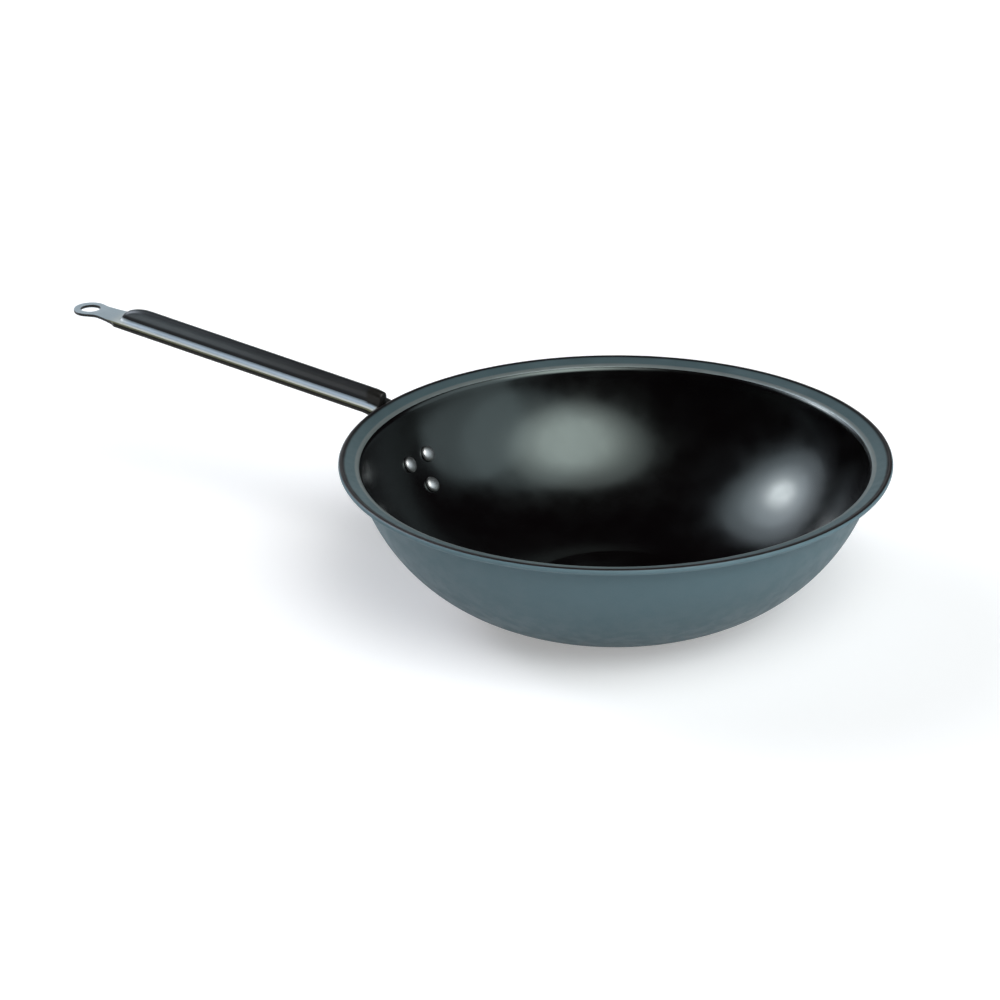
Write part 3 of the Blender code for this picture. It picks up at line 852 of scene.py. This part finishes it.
def rivet_mesh(metal):
    seat = GAP + HEAD_RADIUS**2 / (2.0 * WALL_CURVE_RADIUS)
    tail_face = GAP + SHEET + GAP
    head_face = -(BOWL_WALL + seat)
    shank = [
        Vector((TAIL_RADIUS, tail_face)),
        Vector((SHANK_RADIUS, tail_face)),
        Vector((SHANK_RADIUS, head_face)),
        Vector((HEAD_RADIUS, head_face)),
    ]
    tail = dome(TAIL_RADIUS, tail_face, TAIL_HEIGHT, TAIL_POINTS)[::-1]
    head = dome(HEAD_RADIUS, head_face, -HEAD_HEIGHT, HEAD_POINTS)
    mesh = lathe("rivet", [(tail + shank + head, 0)], RIVET_STEPS, [metal])
    mesh.set_sharp_from_angle(angle=RIVET_CREASE)
    return mesh


def make_rivets():
    metal = rivet_material()
    for node, place in RIVET_PLACES.items():
        mesh = rivet_mesh(metal)
        mesh.transform(rivet_place(*place))
        add_piece(node + "_metal", mesh, node)


# Bowl


def make_bowl():
    """The bowl's own section with finer steps, and its four finishes: coat, lip, the edge's painted dark
    reflection and outside.
    """
    coat, lip, edge, outside = range(4)
    down = -math.pi / 2
    facing_wall = WALL_TOP_ANGLE + math.pi
    facing_lip = LIP_SLOPE + math.pi / 2
    under_lip = LIP_SLOPE - math.pi / 2
    coat_end = mix(facing_wall, facing_lip, COAT_SHARE_OF_BEND)
    edge_end = mix(facing_lip, under_lip, EDGE_SHARE_OF_ROUND)
    rings = [BASE_RADIUS * i / FLOOR_RINGS for i in range(FLOOR_RINGS + 1)]
    floor = [Vector((radius, BOWL_WALL)) for radius in rings]
    under = [Vector((radius, 0.0)) for radius in rings[::-1]]
    knuckle = KNUCKLE_RADIUS - BOWL_WALL
    wall = WALL_CURVE_RADIUS - BOWL_WALL
    bend = LIP_BEND_RADIUS + BOWL_WALL
    rounding = BOWL_WALL / 2
    sections = [
        (floor, coat),
        (arc(KNUCKLE, knuckle, down, WALL_FOOT_ANGLE, KNUCKLE_POINTS), coat),
        (arc(WALL_CENTRE, wall, WALL_FOOT_ANGLE, WALL_TOP_ANGLE, WALL_POINTS), coat),
        (arc(LIP_BEND, bend, facing_wall, coat_end, count=7), coat),
        (arc(LIP_BEND, bend, coat_end, facing_lip, count=8), lip),
        ([LIP_EDGE + direction(facing_lip) * rounding], lip),
        # The top of the rounded edge takes the painted dark reflection
        (arc(LIP_EDGE, rounding, facing_lip, edge_end, count=8), edge),
        (arc(LIP_EDGE, rounding, edge_end, under_lip, count=12), outside),
        (arc(LIP_BEND, LIP_BEND_RADIUS, facing_lip, facing_wall, count=6), outside),
        (arc(WALL_CENTRE, WALL_CURVE_RADIUS, WALL_TOP_ANGLE, WALL_FOOT_ANGLE, WALL_POINTS), outside),
        (arc(KNUCKLE, KNUCKLE_RADIUS, WALL_FOOT_ANGLE, down, KNUCKLE_POINTS), outside),
        (under, outside),
    ]
    materials = [coat_material(), lip_material(), edge_dark_reflection_material(), outside_material()]
    mesh = lathe("bowl_body", sections, BOWL_STEPS, materials)
    add_piece("bowl_body", with_holes(mesh, rivet_drills()), "bowl")


# Handle. Distances are those of HandleLine.


def plate_half_width(below):
    """Half the riveted plate's width, at a distance below its upper row of rivets."""
    side = RIVET_SPREAD / 2
    drop = LINE.upper_row - LINE.lower_row
    slant = math.hypot(side, drop)
    touch = PLATE_MARGIN * side / slant
    if below < touch:
        return side + math.sqrt(PLATE_MARGIN**2 - below**2)
    if below < drop + touch:
        share = (below - touch) / drop
        return side * (1.0 - share) + PLATE_MARGIN * drop / slant
    return math.sqrt(max(PLATE_MARGIN**2 - (below - drop) ** 2, 0.0))


def half_width(distance):
    """Half the strip's width along the handle."""
    grip = GRIP_WIDTH / 2
    shoulder = SHOULDER_WIDTH / 2
    neck = NECK_WIDTH / 2
    eye = EYE_RADIUS + EYE_RIM_WIDTH
    if distance < LINE.upper_row:
        return plate_half_width(LINE.upper_row - distance)
    if distance < LINE.elbow_length:
        share = smooth_step(distance, LINE.upper_row, LINE.elbow_length)
        return mix(RIVET_SPREAD / 2 + PLATE_MARGIN, grip, share)
    if distance < LINE.shoulder:
        share = smooth_step(distance, LINE.shoulder - SHOULDER_LENGTH, LINE.shoulder)
        return mix(grip, shoulder, share)
    if distance < LINE.neck:
        share = (distance - LINE.shoulder) / (LINE.neck - LINE.shoulder)
        return mix(shoulder, neck, share * (2.0 - share))
    if distance < LINE.eye:
        return mix(neck, eye, smooth_step(distance, LINE.neck, LINE.eye))
    return math.sqrt(max(eye**2 - (distance - LINE.eye) ** 2, 0.0))


def rib_end(distance, length):
    """The share of its full height that the rib has at a distance in from one of its rounded ends."""
    share = min(max(distance / length, 0.0), 1.0)
    return math.sqrt(1.0 - (1.0 - share) ** 2)


def rib_height(distance, shortened):
    """Height of the rib. The underside of the sheet has the same rib, shortened at both ends."""
    nose = LINE.nose - shortened
    root = LINE.root + shortened
    full = mix(RIB_HEIGHT_AT_PAN, RIB_HEIGHT_AT_TAB, (distance - root) / (nose - root))
    share = rib_end(distance - root, RIB_ROOT_LENGTH) * rib_end(nose - distance, RIB_NOSE_LENGTH)
    return math.hypot((full + RIB_END_SOFTNESS) * share, RIB_END_SOFTNESS) - RIB_END_SOFTNESS


def gathering(distance):
    """How far the flat strip's lines have drawn together to run into the rib's rounded ends: 0 to 1."""
    return smooth_step(distance, 0.0, LINE.root) * (1.0 - smooth_step(distance, LINE.nose, LINE.neck))


def flat_line(edge, gathered):
    """The upper face across one half where there is no rib, with as many points as the rib takes."""
    last = 2 * RIB_ARC_SIDES + 2
    inner = mix(edge * (1 - 1 / last), RIB_TIP_WIDTH / 2, gathered)
    return [(edge, 0.0, 0.0)] + [(inner * (last - i) / (last - 1), 0.0, 0.0) for i in range(1, last + 1)]


def face_line(half, height, gathered):
    """The strip's upper face across one half, from edge to middle: (sideways, up, angle of slope)."""
    edge = half - EDGE_ROUNDING
    if height <= 0:
        return flat_line(edge, gathered)
    radii = RIB_FOOT_RADIUS + RIB_CREST_RADIUS
    lean = math.atan2(radii, RIB_FLANK)
    turn = lean + math.asin((height - radii) / math.hypot(radii, RIB_FLANK))
    turn = min(turn, RIB_STEEPEST)
    flank = (height - radii * (1 - math.cos(turn))) / math.sin(turn)
    foot = radii * math.sin(turn) + flank * math.cos(turn)
    points = [(edge, 0.0, 0.0)]
    for i in range(RIB_ARC_SIDES + 1):
        angle = turn * i / RIB_ARC_SIDES
        sideways = foot - RIB_FOOT_RADIUS * math.sin(angle)
        points.append((sideways, RIB_FOOT_RADIUS * (1 - math.cos(angle)), angle))
    for i in range(RIB_ARC_SIDES + 1):
        angle = turn * (1 - i / RIB_ARC_SIDES)
        up = height - RIB_CREST_RADIUS * (1 - math.cos(angle))
        points.append((RIB_CREST_RADIUS * math.sin(angle), up, angle))
    return points


def mirrored(right):
    """A face's whole width, from its right half."""
    return [(-sideways, up, -angle) for sideways, up, angle in right[:-1]] + right[::-1]


def strip_section(half, height, height_below, gathered):
    """The strip's closed outline across the handle, with rounded edges, from its left edge."""
    upper = [(sideways, up) for sideways, up, _ in mirrored(face_line(half, height, gathered))]
    lower = []
    for sideways, up, angle in mirrored(face_line(half, height_below, gathered)):
        lower.append((sideways - SHEET * math.sin(angle), up - SHEET * math.cos(angle)))
    edge = half - EDGE_ROUNDING
    corners = []
    for turn, level in ((0, -EDGE_ROUNDING), (1, EDGE_ROUNDING - SHEET)):
        for i in range(1 - turn, EDGE_SIDES + 1 - turn):
            angle = math.pi / 2 * (1 - turn - i / EDGE_SIDES)
            corner = direction(angle) * EDGE_ROUNDING
            corners.append((edge + corner.x, level + corner.y))
    left = [(-sideways, up) for sideways, up in reversed(corners)]
    return upper + corners + lower[::-1] + left


def spread(start, end, count):
    """Distances from start up to, but not at, end."""
    return [mix(start, end, i / count) for i in range(count)]


def rounded_end(centre, radius, count):
    """Distances that crowd together towards a round end, without the end itself.

    A radius below 0 is that of an end behind the centre.
    """
    return [centre + radius * math.sin(math.pi / 2 * i / count) for i in range(count)]


def crowded(start, end, count):
    """Distances from start to end, both included, that crowd together at start."""
    return [mix(start, end, (i / count) ** 2) for i in range(count + 1)]


def stations():
    """Where the handle's sections are, from the plate's lower end to the tip."""
    root_end = LINE.root + RIB_ROOT_LENGTH
    nose_start = LINE.nose - RIB_NOSE_LENGTH
    elbow_past = LINE.elbow_length + SHEET
    found = rounded_end(LINE.lower_row, -PLATE_MARGIN, count=14)
    found += spread(LINE.lower_row, LINE.upper_row, count=10)
    found += spread(LINE.upper_row, LINE.root, count=24)
    found += crowded(LINE.root, root_end, count=16)
    found += spread(root_end, elbow_past, count=12)
    found += spread(elbow_past, nose_start - SHEET, count=24)
    found += spread(nose_start - SHEET, nose_start, count=3)
    found += crowded(LINE.nose, nose_start, count=24)
    found += spread(LINE.shoulder - SHOULDER_LENGTH, LINE.shoulder, count=8)
    found += spread(LINE.shoulder, LINE.neck, count=10)
    found += spread(LINE.neck, LINE.eye, count=12)
    found += rounded_end(LINE.eye, EYE_RADIUS + EYE_RIM_WIDTH, count=18)
    found.sort()
    return [found[0]] + [far for near, far in zip(found, found[1:]) if far - near > STATION_GAP]


def handle_ring(distance):
    """The strip's section in its place, wrapped round the bowl where the plate lies on it."""
    point, slope = LINE.at(distance)
    up = direction(slope + math.pi / 2)
    wrap = 1.0 - smooth_step(distance, 0.0, LINE.elbow_length)
    heights = rib_height(distance, 0.0), rib_height(distance, SHEET)
    ring = []
    for sideways, level in strip_section(half_width(distance), *heights, gathering(distance)):
        place = point + up * level
        radius = mix(place.x, math.sqrt(place.x**2 - sideways**2), wrap)
        ring.append((-radius, sideways, place.y))
    return ring


def loft(name, rings, material):
    """A closed solid through rings that all have the same number of points, with flat ends."""
    count = len(rings[0])
    vertices = [point for ring in rings for point in ring]
    faces = []
    for start in range(0, len(vertices) - count, count):
        for i in range(count):
            j = (i + 1) % count
            faces.append((start + i, start + j, start + count + j, start + count + i))
    faces.append(tuple(range(count))[::-1])
    faces.append(tuple(range(len(vertices) - count, len(vertices))))
    mesh = bpy.data.meshes.new(name)
    mesh.from_pydata(vertices, [], faces)
    mesh.materials.append(material)
    form = bmesh.new()
    form.from_mesh(mesh)
    bmesh.ops.recalc_face_normals(form, faces=form.faces)
    form.to_mesh(mesh)
    form.free()
    mesh.shade_smooth()
    return mesh


def make_handle():
    rings = [handle_ring(distance) for distance in stations()]
    mesh = loft("handle_steel", rings, handle_material())
    point, slope = LINE.at(LINE.eye)
    eye = Matrix.Translation((-point.x, 0.0, point.y)) @ Matrix.Rotation(slope, 4, "Y")
    mesh = with_holes(mesh, rivet_drills() + [drill(eye, EYE_RADIUS)])
    mesh.set_sharp_from_angle(angle=HANDLE_CREASE)
    add_piece("handle_steel", mesh, "handle")


make_camera()
make_lights()
make_world()
make_floor()
make_bowl()
make_handle()
make_rivets()

bpy.context.scene.view_settings.view_transform = "Standard"
